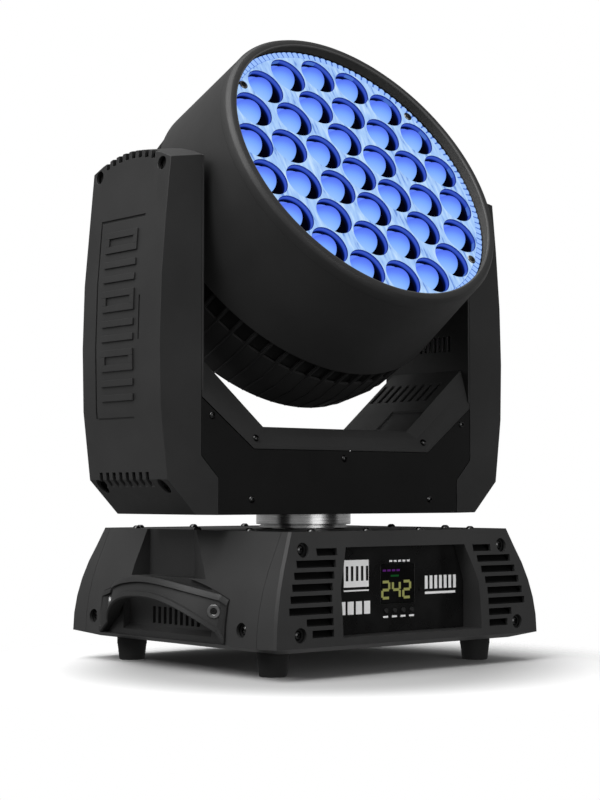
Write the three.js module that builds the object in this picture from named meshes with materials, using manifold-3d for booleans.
// A moving head wash light: a floor-standing base, a yoke that pans on it and a round head that
// tilts in the yoke.
// Millimetres, +Z up. The origin is on the pan axis at floor level; the display side faces -Y.
import * as THREE from "three";
import { mergeVertices } from "three/addons/utils/BufferGeometryUtils.js";
import Module from "manifold-3d";

const wasm = await Module();
wasm.setup();

// ---------------------------------------------------------------- driving dimensions

const GAP = 0.3; // between neighbouring pieces
const WALL = 3; // moulded covers
const ROUND = { large: 48, medium: 24, small: 12 }; // facets on a full circle

const BASE = {
  bottom: 20,
  widest: 25, // height at which the bulging sides are widest
  top: 114.7,
  half: { x: 149, y: 141 }, // at the widest height
  taper: { x: 27, y: 13 }, // how far the sides draw in towards the top
  foot: { x: 131, y: 124 }, // half sizes at the bottom edge
  corner: 2,
  seam: 119, // the side covers end this far in front of and behind the pan axis
  plate: 2.7,
};
const RECESS = { topZ: 102, shoulderZ: 70, bottomZ: 31, topHalf: 67.5, half: 78.5, back: 119 };
const LOUVRE = { count: 8, pitch: 9.05, topZ: 101.6, height: 5.8, edge: 9.5, outerMargin: 12.5 };
// Outer ends of the louvres that stop short of a cover screw, by their number from the top.
const SHORT_LOUVRES = { 0: 99, 6: 116, 7: 110.5 };
const CONNECTOR_BAY = { half: 96, low: 41, high: 86 }; // opening in the rear cover
// The handle's middle is a little behind the pan axis; it bows out between two flat ends.
const HANDLE = {
  y: 8.5,
  half: 88,
  end: 1.5, // how far the flat ends stand proud of the side
  bow: 25,
  bowHalf: 76,
  bowPower: 2.6,
  thick: 14,
  top: { z: 77, drop: 16.5, half: 88, power: 1.8 },
  low: { z: 60, drop: 33, half: 84, power: 2.3 },
  foot: 26, // lowest point of the ends
};
const SCOOP = { back: 121, bottomZ: 75.5, endY: 62, rampY: -2, rampRun: 40, rampRise: 19 };
const POCKET = { plateX: 142.5, plateZ: 25.3, deepX: 136, deepZ: 34, deepHalf: 62, clearance: 0.6 };
const POCKET_RAMP = [[136, 34], [149.5, 25.3]]; // its floor slopes down to the bottom edge
const SIDE_VENT = { count: 9, pitch: 7.7, y: 3.5, width: 4, z: [36, 50] };
const PAN_PAD = { halfX: 55, y: [60, 80], z: 17 }; // the pads that a clamp bracket is screwed to
const PAN_SHEET = 2.5;
const FOOT = { x: 114.7, y: 97.4, tip: 16.5, top: 18 };
const PANEL = { grow: 4, thick: 2.8 }; // the display panel reaches behind the edges of its recess
const SCREEN = { x0: -17.5, x1: 20.5, z0: 54.5, z1: 86.5, set: 0.6, thick: 5.4 };
const BUTTON = {
  z: 48.4,
  firstX: -11.8,
  pitch: 9.8,
  radius: 2.2,
  proud: 1.2,
  collar: 0.9, // wider than the hole by this much, so that the button can't fall out
  collarY: [3.1, 5],
};
const CONTROL_BOARD = { x: [-62, 62], y: [-111, -109.2], z: [34, 104] };
const POWER_SUPPLY = { x: [-90, 90], y: [15, 105], z: [25, 78] };
const SOCKET = { z: 64, panelY: 131, flange: { x: 13, z: 15.5, thick: 2.5 }, hole: 10.5, fuseHole: 6.5 };
const REAR_PANEL = { half: 99.5, z: [38, 89.5], thick: 2.7 };

const PAN = {
  bore: 20,
  post: 27.5,
  postZ: 104,
  flange: 45,
  bearing: 34,
  bearingZ: [118, 133],
  hub: 41.6,
  hubZ: [115, 130.8],
  hubFlange: 50,
  hubTop: 134,
  pulley: 44,
  pulleyZ: 150,
  pulleyH: 10,
};
const PAN_MOTOR = { x: -75, half: 28, bottomZ: 163.3, topZ: 190, pulley: 10 };
const BELT = { thick: 2, edge: 1 }; // narrower than its pulleys by this much on each side
const MOTOR_SHAFT = { radius: 3, beyond: 2 };

const YOKE = {
  halfY: 55,
  crestY: 45, // the bevelled front and rear edges start here
  beam: { half: 83, z: 200 }, // flat top of the cross beam
  beamFront: { half: 100, z: 185 }, // the same corner on the front face
  armX: 152, // inner wall of each arm
  armFootZ: 257,
  armFrontZ: 226,
  coverX: 154.3, // the outer covers start here
  armTopZ: 419, // at the front and rear edges of the arm, below its arch
  archRise: 12,
};
const SADDLE = { thick: 3.2, slots: 8, pitch: 10.2, firstY: -32.2, slotWidth: 4.4, slotX: [117.7, 138.2] };
const YOKE_PANEL = {
  thick: 2,
  outline: [[136.2, 127.5], [136.2, 157.3], [153.7, 175.3], [153.7, 222.2], [100, 181.5]],
};
// Right-hand half of the metal U, outside and then inside.
const FRAME_OUTLINE = [
  [136, 127.5],
  [136, 152],
  [158.2, 174],
  [158.2, 408],
  [155, 408],
  [155, 175.5],
  [132.8, 153.5],
  [132.8, 130.5],
];
const FRAME_HALF_Y = 46;
const INNER_VENT = { count: 7, pitch: 6.15, y: -11.35, width: 3.4, z: [277, 290.6] };
// Right-hand outer cover as seen from the front, from the bottom inner corner outwards and up.
const COVER_OUTLINE = [
  [136.8, 127.5],
  [160, 127.8],
  [188, 156],
  [192, 188],
  [195, 213],
  [196.2, 265],
  [194.6, 318],
  [190.3, 370],
  [185.5, 414],
  [154.3, 419.3],
  [154.3, 175.3],
  [136.8, 157.3],
];
const COVER_HOLLOW = [
  [130, 130.8],
  [158.7, 130.8],
  [185, 157.2],
  [189, 188.5],
  [192, 213.3],
  [193.2, 265],
  [191.8, 317.8],
  [187.3, 370],
  [182.6, 411.2],
  [150, 416.3],
  [150, 172],
  [130, 155],
];
const COVER_TOP = [8, 9]; // the outline points that rise with the arched top

const TILT = {
  z: 376.6,
  lean: 60.25, // degrees from upright, towards the front, as stored
  shaft: 19.7,
  bore: 12,
  bearing: 30,
  bearingX: [154.8, 162.5],
  coverHole: 23.7,
  flange: 30,
  flangeX: [136, 139.5],
  shaftEndX: 168,
  pulley: 40,
  pulleyX: [163.5, 172.5],
};
const TILT_MOTOR = { z: 265, half: 28, x: [174.5, 192], pulley: 8 };

// Heights in the head run along its optical axis from the tilt axis, positive towards the lenses.
const HEAD = {
  shell: { back: -2.4, front: 86, backR: 149, frontR: 141.4 },
  bezel: { back: 86.3, rim: 91.6, lip: 97.2, rimR: 141, lipR: 137, innerR: 133.5 },
  rear: [
    [146, -2.7],
    [143.5, -45],
    [135, -76.4],
  ],
  trunnionHole: 22,
};
const VENT = { count: 58, width: 9, front: -6, back: -30, blankDegrees: 14 };
const LENS = { face: 85.6, plateR: 131, plate: 4, radius: 17.2, dome: 2.5 };
// Radius, count and first angle of each ring of lenses.
const LENS_RINGS = [
  [0, 1, 0],
  [37.6, 6, 30],
  [72.8, 12, 15],
  [109, 18, 10],
];
const CHASSIS = { ring: [64, 133], z: [-12, -8], lug: { x: [122, 135.7], half: 32, z: 30 } };
const GRILLE = { slots: 12, from: 22, to: 54, width: 8 };
const REAR_COVER = { radius: 131.5, z: [-76.4, -73.4] };
const ZOOM = {
  rodR: 3,
  rodAt: 130,
  rodEnd: 16,
  ringZ: [74, 81.3],
  ring: [112, 136],
  actuatorR: 9.5,
  actuatorZ: [18, 48],
};
const LED = { boardR: 118.5, boardZ: [44, 46], size: 7, height: 2 };
const SINK = { radius: 112, baseZ: [36, 43.7], finBack: 0, fins: 13, pitch: 16, fin: 2.5 };
const FAN = {
  half: 60,
  z: [-70, -45],
  bore: 57,
  hub: 18,
  strut: { width: 4, thick: 2.5 },
  tip: 54.5,
  blades: 7,
  blade: { thick: 2, chord: 18, twist: 35 },
};

// ---------------------------------------------------------------- solids

/** A closed geometry as a manifold solid that faces outwards. */
function toSolid(geometry) {
  const bare = new THREE.BufferGeometry();
  bare.setAttribute("position", geometry.getAttribute("position"));
  bare.setIndex(geometry.index);
  const merged = mergeVertices(bare, 1e-4);
  const corners = Array.from(merged.index.array);
  const triangles = [];
  for (let i = 0; i < corners.length; i += 3) {
    const [a, b, c] = corners.slice(i, i + 3);
    if (a !== b && b !== c && c !== a) triangles.push(a, b, c);
  }
  const build = (list) =>
    new wasm.Manifold(
      new wasm.Mesh({
        numProp: 3,
        vertProperties: merged.getAttribute("position").array,
        triVerts: new Uint32Array(list),
      }),
    );
  const solid = build(triangles);
  return solid.volume() > 0 ? solid : build(triangles.toReversed());
}

function toGeometry(solid) {
  const mesh = solid.getMesh();
  const geometry = new THREE.BufferGeometry();
  geometry.setAttribute("position", new THREE.BufferAttribute(mesh.vertProperties, 3));
  geometry.setIndex(new THREE.BufferAttribute(mesh.triVerts, 1));
  geometry.computeVertexNormals();
  return geometry;
}

const join = (...list) => toGeometry(list.map(toSolid).reduce((a, b) => a.add(b)));
const cut = (body, ...tools) => toGeometry(tools.map(toSolid).reduce((a, b) => a.subtract(b), toSolid(body)));
const common = (...list) => toGeometry(list.map(toSolid).reduce((a, b) => a.intersect(b)));
const mirrored = (geometry) => toGeometry(toSolid(geometry.clone().scale(-1, 1, 1)));
const bothSides = (make) => [make(1), make(-1)];
/** The limits of a right-hand feature, or on side -1 those of its mirror image. */
const onSide = (side, [from, to]) => (side > 0 ? [from, to] : [-to, -from]);
/** A right-hand half outline completed with its mirror image. */
const symmetric = (right) => [...right, ...right.toReversed().map(([u, v]) => [-u, v])];

/** A box from its limits along X, Y and Z. */
function block([x0, x1], [y0, y1], [z0, z1]) {
  const box = new THREE.BoxGeometry(x1 - x0, y1 - y0, z1 - z0);
  return box.translate((x0 + x1) / 2, (y0 + y1) / 2, (z0 + z1) / 2);
}

/** A solid of revolution about Z from [radius, height] points; one that stays off the axis makes a ring. */
function turned(profile, segments = ROUND.medium) {
  const points = profile.map(([r, z]) => new THREE.Vector2(r, z));
  if (profile[0][0] > 0) points.push(points[0].clone());
  return new THREE.LatheGeometry(points, segments).rotateX(Math.PI / 2);
}

const disc = (radius, z0, z1, segments) => turned([[0, z0], [radius, z0], [radius, z1], [0, z1]], segments);
const tube = (inner, outer, z0, z1, segments) =>
  turned([[inner, z0], [outer, z0], [outer, z1], [inner, z1]], segments);

/** A flat outline pushed along one axis; its points are (x, y), (x, z) or (y, z), as that axis leaves. */
function prism(outline, axis, from, to) {
  const shape = new THREE.Shape(outline.map(([u, v]) => new THREE.Vector2(u, v)));
  const geometry = new THREE.ExtrudeGeometry(shape, { depth: to - from, bevelEnabled: false });
  geometry.translate(0, 0, from);
  const turn = {
    x: new THREE.Matrix4().set(0, 0, 1, 0, 1, 0, 0, 0, 0, 1, 0, 0, 0, 0, 0, 1),
    y: new THREE.Matrix4().set(1, 0, 0, 0, 0, 0, 1, 0, 0, 1, 0, 0, 0, 0, 0, 1),
    z: new THREE.Matrix4(),
  };
  return toGeometry(toSolid(geometry.applyMatrix4(turn[axis])));
}

const FLATTEN = {
  y: ([x, , z]) => new THREE.Vector2(x, z),
  z: ([x, y]) => new THREE.Vector2(x, y),
};

/** A skin through matching outlines, capped at both ends; each outline lies flat across the axis. */
function loft(rings, axis) {
  const size = rings[0].length;
  const triangles = [];
  for (let ring = 0; ring + 1 < rings.length; ring++) {
    for (let i = 0; i < size; i++) {
      const a = ring * size + i;
      const b = ring * size + ((i + 1) % size);
      triangles.push(a, b, b + size, a, b + size, a + size);
    }
  }
  const cap = (ring, reversed) => {
    const flat = rings[ring].map(FLATTEN[axis]);
    const clockwise = THREE.ShapeUtils.isClockWise(flat);
    for (const [a, b, c] of THREE.ShapeUtils.triangulateShape(flat, [])) {
      const same = THREE.ShapeUtils.isClockWise([flat[a], flat[b], flat[c]]) === clockwise;
      const [p, q, r] = same !== reversed ? [a, b, c] : [c, b, a];
      triangles.push(ring * size + p, ring * size + q, ring * size + r);
    }
  };
  cap(0, true);
  cap(rings.length - 1, false);
  const geometry = new THREE.BufferGeometry();
  geometry.setAttribute("position", new THREE.Float32BufferAttribute(rings.flat(2), 3));
  geometry.setIndex(triangles);
  return toGeometry(toSolid(geometry));
}

/** The outline of an open belt round two circles: the large one at 0, the small one at -distance. */
function beltOutline(large, small, distance) {
  const tangent = Math.acos((large - small) / distance);
  const arc = (centre, radius, from, to, steps) =>
    Array.from({ length: steps + 1 }, (_, i) => {
      const angle = from + ((to - from) * i) / steps;
      return [centre + radius * Math.cos(angle), radius * Math.sin(angle)];
    });
  const meet = Math.PI - tangent;
  return [...arc(0, large, -meet, meet, 20), ...arc(-distance, small, meet, 2 * Math.PI - meet, 7)];
}

/** A belt round two pulleys, between two heights. */
function belt(large, small, distance, z0, z1) {
  const outside = GAP + BELT.thick;
  return cut(
    prism(beltOutline(large + outside, small + outside, distance), "z", z0, z1),
    prism(beltOutline(large + GAP, small + GAP, distance), "z", z0 - 1, z1 + 1),
  );
}

/** Turns a solid made about Z so that it stands about X, at the height of the tilt axis or another. */
const acrossX = (geometry, z = 0) => geometry.rotateY(Math.PI / 2).translate(0, 0, z);

// ---------------------------------------------------------------- base

/** Half width (axis x) or half depth (axis y) of the base at a height. */
function baseHalf(axis, height) {
  const z = THREE.MathUtils.clamp(height, BASE.bottom, BASE.top);
  if (z < BASE.widest) {
    const share = (z - BASE.bottom) / (BASE.widest - BASE.bottom);
    return THREE.MathUtils.lerp(BASE.foot[axis], BASE.half[axis], share);
  }
  const rise = (z - BASE.widest) / (BASE.top - BASE.widest);
  return BASE.half[axis] - BASE.taper[axis] * rise ** 2;
}

function baseRing(sizeZ, z, inset) {
  const x = baseHalf("x", sizeZ) - inset;
  const y = baseHalf("y", sizeZ) - inset;
  const c = BASE.corner;
  return [
    [x, -y + c, z], [x, y - c, z], [x - c, y, z], [-x + c, y, z],
    [-x, y - c, z], [-x, -y + c, z], [-x + c, -y, z], [x - c, -y, z],
  ];
}

const BULGE = [40, 55, 70, 85, 100];
const coverTop = BASE.top - BASE.plate - GAP;

/** The full bulging body between two heights. */
function baseBody(from, to) {
  const levels = [from, ...[BASE.widest, ...BULGE].filter((z) => z > from && z < to), to];
  return loft(levels.map((z) => baseRing(z, z, 0)), "z");
}

/** What the side covers enclose; open at the top and the bottom. */
function baseHollow() {
  const heights = [BASE.bottom - 1, BASE.bottom + WALL];
  const rings = heights.map((z) => baseRing(BASE.bottom, z, WALL));
  rings.push(baseRing(BASE.widest + WALL, BASE.widest + WALL, WALL));
  rings.push(...BULGE.map((z) => baseRing(z, z, WALL)), baseRing(BASE.top, BASE.top + 1, WALL));
  return loft(rings, "z");
}

const baseShell = () => cut(baseBody(BASE.bottom, coverTop), baseHollow());
const everywhere = [-200, 200];

function recessOutline(grow) {
  const { topZ, shoulderZ, bottomZ, topHalf, half } = RECESS;
  return symmetric([
    [half + grow, bottomZ - grow],
    [half + grow, shoulderZ],
    [topHalf + grow, topZ + grow],
  ]);
}

/** Half width of the display recess at a height. */
function recessHalf(z) {
  const rise = THREE.MathUtils.clamp((z - RECESS.shoulderZ) / (RECESS.topZ - RECESS.shoulderZ), 0, 1);
  return THREE.MathUtils.lerp(RECESS.half, RECESS.topHalf, rise);
}

/** One louvre slot: the top one and the two lowest are short, to clear the cover screws. */
function louvre(index, side) {
  const top = LOUVRE.topZ - LOUVRE.pitch * index;
  const outer = SHORT_LOUVRES[index] ?? baseHalf("x", top) - LOUVRE.outerMargin;
  const inner = recessHalf(top) + LOUVRE.edge;
  const [x0, x1] = onSide(side, [inner, outer]);
  return block([x0, x1], [-160, -128], [top - LOUVRE.height, top]);
}

function baseFrontCover() {
  const front = [-200, -BASE.seam];
  const face = common(baseShell(), block(everywhere, front, everywhere));
  const liner = common(prism(recessOutline(WALL), "y", ...front), baseBody(BASE.bottom, coverTop));
  const slots = Array.from({ length: LOUVRE.count }, (_, i) => bothSides((side) => louvre(i, side))).flat();
  return cut(join(face, liner), prism(recessOutline(0), "y", -200, -100), ...slots);
}

function baseRearCover() {
  const rear = [BASE.seam, 200];
  const { half, low, high } = CONNECTOR_BAY;
  const opening = (grow, from, to) =>
    block([-half - grow, half + grow], [from, to], [low - grow, high + grow]);
  const face = common(baseShell(), block(everywhere, rear, everywhere));
  const liner = common(opening(WALL, SOCKET.panelY + GAP, 200), baseBody(BASE.bottom, coverTop));
  return cut(join(face, liner), opening(0, 100, 200));
}

/** A height that drops away from its middle value towards the ends of the handle. */
const along = ({ z, drop, half, power }, y) => z - drop * (Math.abs(y) / half) ** power;
const handleTop = (y) => along(HANDLE.top, y);
const handleLow = (y) => Math.max(HANDLE.foot, along(HANDLE.low, y));
const handleBow = (y) =>
  HANDLE.end + HANDLE.bow * Math.max(0, 1 - (Math.abs(y) / HANDLE.bowHalf) ** HANDLE.bowPower);
const handleStations = Array.from({ length: 15 }, (_, i) => HANDLE.half * Math.sin((Math.PI * (i - 7)) / 14));

/** A bowed grip that lies flush with the side at both ends and arches outwards and upwards between them. */
function handle() {
  const softened = 1.5;
  const station = (y) => {
    const [low, top] = [handleLow(y), handleTop(y)];
    const outer = (z) => baseHalf("x", z) + handleBow(y);
    const inner = Math.max(POCKET.plateX + GAP, outer(low) - HANDLE.thick);
    return [
      [inner, y, low],
      [outer(low) - softened, y, low],
      [outer((low + top) / 2), y, (low + top) / 2],
      [outer(top) - softened, y, top],
      [inner, y, top],
    ];
  };
  return loft(handleStations.map(station), "y").translate(0, HANDLE.y, 0);
}

function scoopOutline(grow) {
  const slope = SCOOP.rampRun / SCOOP.rampRise;
  const [back, outer] = [SCOOP.back - grow, 168];
  const rampStart = SCOOP.rampY - 0.25 * grow;
  return [
    [back, SCOOP.endY + grow],
    [outer, SCOOP.endY + grow],
    [outer, rampStart - slope * (outer - back)],
    [back, rampStart],
  ];
}

/** The part of a side cover behind the handle, under the line of its upper edge. */
function handlePocket(half, low, depthX, grow) {
  const upper = handleStations.filter((y) => Math.abs(y) < half);
  const edge = [half, ...upper.toReversed(), -half].map((y) => [
    y + Math.sign(y) * grow,
    handleTop(y) + POCKET.clearance + grow,
  ]);
  const outline = [[-half - grow, low - grow], [half + grow, low - grow], ...edge];
  return prism(outline, "x", depthX - grow, 200).translate(0, HANDLE.y, 0);
}

/** What is cut away over the sloping floor of the deep part of the pocket. */
function pocketRamp(grow) {
  const [[x0, z0], [x1, z1]] = POCKET_RAMP.map(([x, z]) => [x - grow / 2, z - grow]);
  const half = POCKET.deepHalf + grow;
  return prism([[x0, z0], [x1, z1], [170, z1], [170, z0]], "y", HANDLE.y - half, HANDLE.y + half);
}

function sideVent(index) {
  const y = SIDE_VENT.y + SIDE_VENT.pitch * (index - (SIDE_VENT.count - 1) / 2);
  return block([130, 140], [y - SIDE_VENT.width / 2, y + SIDE_VENT.width / 2], SIDE_VENT.z);
}

function baseSideCover() {
  const side = common(baseShell(), block([0, 200], [-BASE.seam + GAP, BASE.seam - GAP], everywhere));
  const hollows = (grow) => [
    prism(scoopOutline(grow), "z", SCOOP.bottomZ - grow, 130),
    handlePocket(HANDLE.half + 0.5, POCKET.plateZ, POCKET.plateX, grow),
    handlePocket(POCKET.deepHalf, POCKET.deepZ, POCKET.deepX, grow),
    pocketRamp(grow),
  ];
  const lined = common(join(...hollows(WALL)), baseBody(BASE.bottom, coverTop));
  const vents = Array.from({ length: SIDE_VENT.count }, (_, i) => sideVent(i));
  return cut(join(side, lined), ...hollows(0), ...vents);
}

function basePan() {
  const pad = (side) => {
    const z = [PAN_PAD.z, BASE.bottom + 1];
    return block([-PAN_PAD.halfX, PAN_PAD.halfX], onSide(side, PAN_PAD.y), z);
  };
  const sheet = [BASE.bottom, BASE.bottom + PAN_SHEET].map((z) => baseRing(BASE.bottom, z, WALL + 0.5));
  return join(loft(sheet, "z"), ...bothSides(pad));
}

const baseTopPlate = () =>
  cut(baseBody(BASE.top - BASE.plate, BASE.top), disc(PAN.post + 0.5, 100, 130, ROUND.medium));

function foot() {
  const top = BASE.bottom - GAP;
  return turned([[0, 0], [FOOT.tip, 0], [FOOT.top, 4], [FOOT.top, top], [0, top]], ROUND.small);
}

function displayPanel() {
  const buttons = [0, 1, 2, 3].map((i) => buttonHole(BUTTON.firstX + BUTTON.pitch * i));
  const { x0, x1, z0, z1 } = SCREEN;
  const window = block([x0 - GAP, x1 + GAP], [-130, -110], [z0 - GAP, z1 + GAP]);
  const plate = prism(recessOutline(PANEL.grow), "y", -RECESS.back + GAP, -RECESS.back + PANEL.thick);
  return cut(plate, window, ...buttons);
}

const buttonHole = (x) =>
  disc(BUTTON.radius + GAP, -130, 130, ROUND.small)
    .rotateX(Math.PI / 2)
    .translate(x, 0, BUTTON.z);

function displayScreen() {
  const { x0, x1, z0, z1, set, thick } = SCREEN;
  const front = -RECESS.back + set;
  return block([x0, x1], [front, front + thick], [z0, z1]);
}

/** A push button about its own axis, a little proud of the panel's face, with a collar behind the panel. */
function button() {
  const { radius: r, proud, collar, collarY: [front, back] } = BUTTON;
  const profile = [[0, -proud], [r, -proud], [r, front], [r + collar, front], [r + collar, back], [0, back]];
  return turned(profile, ROUND.small).rotateX(-Math.PI / 2);
}

const controlBoard = () => block(CONTROL_BOARD.x, CONTROL_BOARD.y, CONTROL_BOARD.z);
const powerSupply = () => block(POWER_SUPPLY.x, POWER_SUPPLY.y, POWER_SUPPLY.z);

/** A solid of revolution about the connector panel's outward normal, heights measured from its face. */
const onPanel = (profile, segments = ROUND.small) =>
  turned(profile, segments).rotateX(-Math.PI / 2).translate(0, SOCKET.panelY, 0);

/** The square flange of a chassis socket. */
function socketFlange() {
  const { x, z, thick } = SOCKET.flange;
  return block([-x, x], [SOCKET.panelY + GAP, SOCKET.panelY + thick], [-z, z]);
}

function dataSocket() {
  const barrel = onPanel([[0, -18], [10, -18], [10, 2], [0, 2]]);
  const mouth = onPanel([[0, -8], [8.5, -8], [8.5, 9], [0, 9]]);
  return cut(join(socketFlange(), barrel), mouth);
}

function powerSocket() {
  const barrel = onPanel([[0, -18], [10, -18], [10, 1], [12.5, 1], [12.5, 10], [0, 10]]);
  const mouth = onPanel([[0, -6], [9, -6], [9, 20], [0, 20]]);
  return cut(join(socketFlange(), barrel), mouth);
}

const fuseHolder = () =>
  onPanel([[0, -20], [6, -20], [6, GAP], [9, GAP], [9, 3], [7, 4], [7, 15.7], [0, 15.7]]);

const sockets = {
  power_inlet: [-70, powerSocket],
  power_outlet: [-35, powerSocket],
  fuse_holder: [0, fuseHolder],
  data_inlet: [38, dataSocket],
  data_outlet: [72, dataSocket],
};

function rearPanel() {
  const { half, z, thick } = REAR_PANEL;
  const plate = block([-half, half], [SOCKET.panelY - thick, SOCKET.panelY], z);
  const holes = Object.entries(sockets).map(([name, [x]]) => {
    const radius = name === "fuse_holder" ? SOCKET.fuseHole : SOCKET.hole;
    return onPanel([[0, -9], [radius, -9], [radius, 9], [0, 9]]).translate(x, 0, SOCKET.z);
  });
  return cut(plate, ...holes);
}

/** The hollow post that the yoke turns on, with its flange under the top plate and the fixed belt pulley. */
function panPost() {
  const { bore, post, postZ, flange, pulley, pulleyZ, pulleyH } = PAN;
  const [under, top] = [coverTop - WALL, coverTop];
  const profile = [
    [bore, postZ], [post, postZ], [post, under], [flange, under], [flange, top], [post, top],
    [post, pulleyZ], [pulley, pulleyZ], [pulley, pulleyZ + pulleyH], [bore, pulleyZ + pulleyH],
  ];
  return turned(profile, ROUND.medium);
}

// ---------------------------------------------------------------- yoke

/** The polished collar between the base and the yoke, with a flange inside the yoke. */
function panHub() {
  const [inner, outer] = [PAN.bearing + GAP, PAN.hub];
  const { hubZ: [low, high], hubFlange, hubTop } = PAN;
  const profile = [
    [inner, low], [outer, low], [outer, high], [hubFlange, high], [hubFlange, hubTop], [inner, hubTop],
  ];
  return turned(profile, ROUND.large);
}

const panBearing = () => tube(PAN.post + GAP, PAN.bearing, ...PAN.bearingZ, ROUND.medium);

/** The metal U that carries the load: a floor, two cranked sides and the bearing holes. */
function yokeFrame() {
  const sheet = prism(symmetric(FRAME_OUTLINE), "y", -FRAME_HALF_Y, FRAME_HALF_Y);
  const shaftHole = acrossX(disc(TILT.bearing + GAP, -200, 200, ROUND.medium), TILT.z);
  return cut(sheet, shaftHole, disc(PAN.hub + 0.5, 100, 140, ROUND.medium));
}

/** The outline of the beam cover at one distance from the pan axis: its upper line, then its lower. */
function saddleRing(y) {
  const front = Math.abs(y) === YOKE.halfY;
  const corner = front ? YOKE.beamFront : YOKE.beam;
  const [x, z] = front ? [YOKE.armX + 2, YOKE.armFrontZ] : [YOKE.armX, YOKE.armFootZ];
  const upper = [[-x, z], [-corner.half, corner.z], [corner.half, corner.z], [x, z]];
  const lower = upper.toReversed().map(([u, v]) => [u, v - SADDLE.thick]);
  return [...upper, ...lower].map(([u, v]) => [u, y, v]);
}

function yokeSaddle() {
  const shell = loft([-YOKE.halfY, -YOKE.crestY, YOKE.crestY, YOKE.halfY].map(saddleRing), "y");
  const slot = (side, i) => {
    const y = SADDLE.firstY + SADDLE.pitch * i;
    const across = [y - SADDLE.slotWidth / 2, y + SADDLE.slotWidth / 2];
    return block(onSide(side, SADDLE.slotX), across, [200, 270]);
  };
  const row = (side) => Array.from({ length: SADDLE.slots }, (_, i) => slot(side, i));
  return cut(shell, ...bothSides(row).flat());
}

/** The flat sheet that closes the front of the beam; the rear one is the same. */
const yokePanel = () =>
  prism(symmetric(YOKE_PANEL.outline), "y", -YOKE_PANEL.thick / 2, YOKE_PANEL.thick / 2);

const archHeight = (y) => YOKE.archRise * (1 - (y / YOKE.halfY) ** 2);
const archStations = [-4, -3, -2, -1, 0, 1, 2, 3, 4].map((i) => (i / 4) * YOKE.halfY);

function armInnerCover() {
  const { halfY, crestY, armFrontZ, armFootZ, armTopZ } = YOKE;
  const [frontZ, footZ] = [armFrontZ + 1, armFootZ + 0.8]; // just clear of the beam cover
  const arch = archStations.toReversed().map((y) => [y, armTopZ + archHeight(y)]);
  const outline = [[-halfY, frontZ], [-crestY, footZ], [crestY, footZ], [halfY, frontZ], ...arch];
  const sheet = prism(outline, "x", YOKE.armX, YOKE.coverX - GAP);
  const slots = Array.from({ length: INNER_VENT.count }, (_, i) => innerVent(i));
  return cut(sheet, acrossX(disc(TILT.coverHole, -200, 200), TILT.z), ...slots);
}

function innerVent(index) {
  const y = INNER_VENT.y + INNER_VENT.pitch * (index - (INNER_VENT.count - 1) / 2);
  return block([140, 170], [y - INNER_VENT.width / 2, y + INNER_VENT.width / 2], INNER_VENT.z);
}

/** The moulded outer cover of one arm, hollow and open towards the arm's frame. */
function armOuterCover() {
  const ring = (outline, y, arch) =>
    outline.map(([x, z], i) => [x, y, COVER_TOP.includes(i) ? z + archHeight(arch) : z]);
  const outer = loft(archStations.map((y) => ring(COVER_OUTLINE, y, y)), "y");
  const inside = 1 - WALL / YOKE.halfY;
  const hollow = loft(archStations.map((y) => ring(COVER_HOLLOW, y * inside, y * inside)), "y");
  return cut(outer, hollow);
}

const tiltBearing = () => acrossX(tube(TILT.shaft + GAP, TILT.bearing, ...TILT.bearingX), TILT.z);

const panMotor = () => {
  const { x, half, bottomZ, topZ } = PAN_MOTOR;
  return block([x - half, x + half], [-half, half], [bottomZ, topZ]);
};

function panBelt() {
  const [low, high] = [PAN.pulleyZ + BELT.edge, PAN.pulleyZ + PAN.pulleyH - BELT.edge];
  return belt(PAN.pulley, PAN_MOTOR.pulley, -PAN_MOTOR.x, low, high);
}

/** A toothed pulley on its motor shaft, about Z. */
function motorPulley(radius, low, high, shaftLow, shaftHigh) {
  const shaft = MOTOR_SHAFT.radius;
  const profile = [
    [0, shaftLow], [shaft, shaftLow], [shaft, low], [radius, low],
    [radius, high], [shaft, high], [shaft, shaftHigh],
    [0, shaftHigh],
  ];
  return turned(profile, ROUND.small);
}

const tiltMotor = () => {
  const { z, half, x } = TILT_MOTOR;
  return block([-x[1], -x[0]], [-half, half], [z - half, z + half]);
};

/** The belt in the left arm runs from the head's pulley down to the motor's. */
function tiltBelt() {
  const [x0, x1] = TILT.pulleyX;
  const distance = TILT.z - TILT_MOTOR.z;
  const loop = belt(TILT.pulley, TILT_MOTOR.pulley, distance, -x1 + BELT.edge, -x0 - BELT.edge);
  return loop.rotateY(Math.PI / 2).rotateX(Math.PI).translate(0, 0, TILT.z);
}

// ---------------------------------------------------------------- head

const shellR = (z) => {
  const { back, front, backR, frontR } = HEAD.shell;
  return THREE.MathUtils.lerp(backR, frontR, (z - back) / (front - back));
};
const trunnionHoles = () => acrossX(disc(HEAD.trunnionHole, -200, 200));

function headFrontShell() {
  const { back, front } = HEAD.shell;
  const profile = [
    [shellR(back) - WALL, back], [shellR(back), back], [shellR(front), front], [shellR(front) - WALL, front],
  ];
  return cut(turned(profile, ROUND.large), trunnionHoles());
}

function frontBezel() {
  const { back, rim, lip, rimR, lipR, innerR } = HEAD.bezel;
  const profile = [[innerR, back], [rimR, back], [rimR, rim], [lipR, lip], [innerR + 1, lip], [innerR, rim]];
  return turned(profile, ROUND.large);
}

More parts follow.
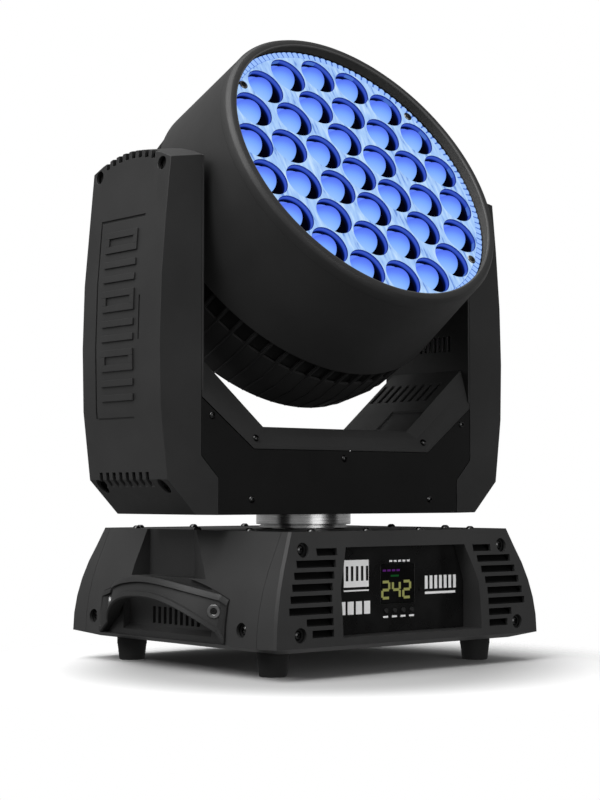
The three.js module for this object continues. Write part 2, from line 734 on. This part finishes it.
/** The vented rear housing: a narrowing shell with a ring of openings behind the front shell. */
function headRearShell() {
  const inner = HEAD.rear.toReversed().map(([r, z]) => [r - WALL, z]);
  const shell = turned([...HEAD.rear, ...inner], VENT.count);
  const vents = [];
  for (let i = 0; i < VENT.count; i++) {
    const angle = ((i + 0.5) * 360) / VENT.count;
    const fromShaft = Math.min(Math.abs((angle % 180) - 180), angle % 180);
    if (fromShaft < VENT.blankDegrees) continue;
    const opening = block([120, 160], [-VENT.width / 2, VENT.width / 2], [VENT.back, VENT.front]);
    vents.push(opening.rotateZ(THREE.MathUtils.degToRad(angle)));
  }
  return cut(shell, trunnionHoles(), ...vents);
}

/** The flat back of the head, with a round grille of slots behind the fan. */
function rearCover() {
  const { slots, from, to, width } = GRILLE;
  const slot = block([from, to], [-width / 2, width / 2], [-90, -60]);
  const grille = Array.from({ length: slots }, (_, i) => slot.clone().rotateZ((2 * Math.PI * i) / slots));
  return cut(disc(REAR_COVER.radius, ...REAR_COVER.z, ROUND.large), ...grille);
}

/** The ring plate that everything in the head is fixed to, with a lug for each trunnion. */
function headChassis() {
  const { ring, z, lug } = CHASSIS;
  const ear = (side) => block(onSide(side, lug.x), [-lug.half, lug.half], [-lug.z, lug.z]);
  return join(tube(...ring, ...z, ROUND.medium), ...bothSides(ear));
}

/** A hollow shaft that carries the head; the left one ends in the tilt pulley. */
function trunnion(withPulley) {
  const { bore, flange, flangeX: [inner, outer], shaft, shaftEndX, pulley, pulleyX } = TILT;
  const end = withPulley
    ? [[shaft, pulleyX[0]], [pulley, pulleyX[0]], [pulley, pulleyX[1]], [bore, pulleyX[1]]]
    : [[shaft, shaftEndX], [bore, shaftEndX]];
  const profile = [[bore, inner], [flange, inner], [flange, outer], [shaft, outer], ...end];
  return acrossX(turned(profile, ROUND.medium));
}

const lensCentres = LENS_RINGS.flatMap(([radius, count, first]) =>
  Array.from({ length: count }, (_, i) => {
    const angle = THREE.MathUtils.degToRad(first + (360 * i) / count);
    return [radius * Math.cos(angle), radius * Math.sin(angle)];
  }),
);

/** The moulded front plate with all of its lenses, which the zoom moves to and fro. */
function lensPlate() {
  const { face, plate, plateR, radius, dome } = LENS;
  const lens = ([x, y]) => disc(radius, face - 1, face + dome, 8).translate(x, y, 0);
  return join(disc(plateR, face - plate, face, ROUND.large), ...lensCentres.map(lens));
}

function zoomCarriage() {
  const { rodR, rodAt, rodEnd, ringZ, ring } = ZOOM;
  const rod = (side) => disc(rodR, rodEnd, ringZ[0] + 1, ROUND.small).translate(0, side * rodAt, 0);
  return join(tube(...ring, ...ringZ, ROUND.large), ...bothSides(rod));
}

const zoomActuator = () => tube(ZOOM.rodR + GAP, ZOOM.actuatorR, ...ZOOM.actuatorZ, ROUND.small);

function ledBoard() {
  const [back, front] = LED.boardZ;
  const half = LED.size / 2;
  const emitter = ([x, y]) =>
    block([x - half, x + half], [y - half, y + half], [front - 0.5, front + LED.height]);
  return join(disc(LED.boardR, back, front, ROUND.medium), ...lensCentres.map(emitter));
}

function heatsink() {
  const { radius, baseZ, finBack, fins, pitch, fin } = SINK;
  const blades = Array.from({ length: fins }, (_, i) => {
    const y = pitch * (i - (fins - 1) / 2);
    const reach = Math.sqrt(radius ** 2 - y ** 2);
    return block([-reach, reach], [y - fin / 2, y + fin / 2], [finBack, baseZ[0] + 1]);
  });
  return join(disc(radius + 4, ...baseZ, ROUND.medium), ...blades);
}

/** A square axial fan frame with a bearing plate on four struts. */
function fanFrame() {
  const { half, z, bore, hub, strut } = FAN;
  const body = cut(block([-half, half], [-half, half], z), disc(bore, -90, 0, ROUND.medium));
  const bar = block([-bore - 1, bore + 1], [-strut.width / 2, strut.width / 2], [z[0], z[0] + strut.thick]);
  const cross = [1, -1].map((turn) => bar.clone().rotateZ((turn * Math.PI) / 4));
  return join(body, disc(hub, z[0], z[0] + strut.thick), ...cross);
}

function fanRotor() {
  const { z, hub, tip, blades, blade: { thick, chord, twist } } = FAN;
  const [back, front] = [z[0] + 3, z[1] - 2];
  const middle = (back + front) / 2;
  const blade = (i) =>
    block([hub - 4, tip], [-thick / 2, thick / 2], [-chord / 2, chord / 2])
      .rotateX(THREE.MathUtils.degToRad(twist))
      .translate(0, 0, middle)
      .rotateZ((2 * Math.PI * i) / blades);
  return join(disc(hub, back, front), ...Array.from({ length: blades }, (_, i) => blade(i)));
}

// ---------------------------------------------------------------- materials

const finish = (color, roughness, metalness) =>
  new THREE.MeshStandardMaterial({ color, roughness, metalness });
const FINISH = {
  cover: () => finish(0x2b2b2d, 0.55, 0),
  sheet: () => finish(0x1a1a1b, 0.5, 0.3),
  grip: () => finish(0x242425, 0.6, 0),
  rubber: () => finish(0x111111, 0.85, 0),
  polished: () => finish(0xc8c8c8, 0.2, 1),
  metal: () => finish(0x9a9ea3, 0.4, 0.9),
  steel: () => finish(0x55585c, 0.4, 0.8),
  board: () => finish(0x1d5a35, 0.6, 0),
  socket: () => finish(0x151515, 0.5, 0),
  screen: () => finish(0x0a0c0a, 0.1, 0),
  panel: () => finish(0x121212, 0.4, 0),
  lens: () => finish(0x3f5cff, 0.1, 0),
};

// ---------------------------------------------------------------- assembly

const light = new THREE.Group();
const base = new THREE.Group();
const yoke = new THREE.Group();
const head = new THREE.Group();
head.position.z = TILT.z;
head.rotation.x = THREE.MathUtils.degToRad(TILT.lean);
light.add(base, yoke, head);

function add(group, name, geometry, material, [x, y, z] = [0, 0, 0]) {
  const mesh = new THREE.Mesh(toGeometry(toSolid(geometry)), FINISH[material]());
  mesh.name = name;
  mesh.position.set(x, y, z);
  group.add(mesh);
}

function addPair(group, name, geometry, material) {
  add(group, name + "_right", geometry, material);
  add(group, name + "_left", mirrored(geometry), material);
}

function assembleBase() {
  add(base, "base_pan", basePan(), "sheet");
  add(base, "base_front_cover", baseFrontCover(), "cover");
  add(base, "base_rear_cover", baseRearCover(), "cover");
  addPair(base, "base_side_cover", baseSideCover(), "cover");
  add(base, "base_top_plate", baseTopPlate(), "cover");
  addPair(base, "handle", handle(), "grip");
  for (const [end, y] of [["front", -FOOT.y], ["rear", FOOT.y]]) {
    add(base, `foot_${end}_left`, foot(), "rubber", [-FOOT.x, y, 0]);
    add(base, `foot_${end}_right`, foot(), "rubber", [FOOT.x, y, 0]);
  }
  add(base, "display_panel", displayPanel(), "panel");
  add(base, "display_screen", displayScreen(), "screen");
  ["menu", "up", "down", "enter"].forEach((name, i) => {
    const x = BUTTON.firstX + BUTTON.pitch * i;
    add(base, name + "_button", button(), "rubber", [x, -RECESS.back + GAP, BUTTON.z]);
  });
  add(base, "control_board", controlBoard(), "board");
  add(base, "power_supply", powerSupply(), "steel");
  add(base, "rear_panel", rearPanel(), "sheet");
  for (const [name, [x, make]] of Object.entries(sockets)) {
    add(base, name, make(), "socket", [x, 0, SOCKET.z]);
  }
  add(base, "pan_post", panPost(), "metal");
}

function assembleYoke() {
  add(yoke, "pan_hub", panHub(), "polished");
  add(yoke, "pan_bearing", panBearing(), "metal");
  add(yoke, "yoke_frame", yokeFrame(), "metal");
  add(yoke, "yoke_saddle_cover", yokeSaddle(), "cover");
  const panelY = YOKE.halfY - YOKE_PANEL.thick / 2 - GAP;
  add(yoke, "yoke_front_panel", yokePanel(), "sheet", [0, -panelY, 0]);
  add(yoke, "yoke_rear_panel", yokePanel(), "sheet", [0, panelY, 0]);
  addPair(yoke, "arm_inner_cover", armInnerCover(), "cover");
  addPair(yoke, "arm_outer_cover", armOuterCover(), "cover");
  addPair(yoke, "tilt_bearing", tiltBearing(), "metal");
  add(yoke, "pan_motor", panMotor(), "steel");
  add(yoke, "pan_belt", panBelt(), "rubber");
  const { pulley, bottomZ, x } = PAN_MOTOR;
  const [low, high] = [PAN.pulleyZ, PAN.pulleyZ + PAN.pulleyH];
  const panPulley = motorPulley(pulley, low, high, low - MOTOR_SHAFT.beyond, bottomZ - GAP);
  add(yoke, "pan_motor_pulley", panPulley, "metal", [x, 0, 0]);
  add(yoke, "tilt_motor", tiltMotor(), "steel");
  add(yoke, "tilt_belt", tiltBelt(), "rubber");
  const [x0, x1] = TILT.pulleyX;
  const shaftStart = -TILT_MOTOR.x[0] + GAP;
  const tiltPulley = motorPulley(TILT_MOTOR.pulley, -x1, -x0, shaftStart, -x0 + 1.5);
  add(yoke, "tilt_motor_pulley", acrossX(tiltPulley), "metal", [0, 0, TILT_MOTOR.z]);
}

function assembleHead() {
  add(head, "head_chassis", headChassis(), "metal");
  add(head, "head_front_shell", headFrontShell(), "cover");
  add(head, "front_bezel", frontBezel(), "cover");
  add(head, "head_rear_shell", headRearShell(), "cover");
  add(head, "rear_cover", rearCover(), "cover");
  add(head, "trunnion_right", trunnion(false), "metal");
  add(head, "trunnion_left", mirrored(trunnion(true)), "metal");
  add(head, "heatsink", heatsink(), "metal");
  add(head, "led_board", ledBoard(), "board");
  add(head, "fan_frame", fanFrame(), "socket");
  add(head, "fan_rotor", fanRotor(), "socket");
  add(head, "zoom_actuator_upper", zoomActuator(), "steel", [0, ZOOM.rodAt, 0]);
  add(head, "zoom_actuator_lower", zoomActuator(), "steel", [0, -ZOOM.rodAt, 0]);
  add(head, "zoom_carriage", zoomCarriage(), "metal");
  add(head, "lens_plate", lensPlate(), "lens");
}

assembleBase();
assembleYoke();
assembleHead();

export default light;
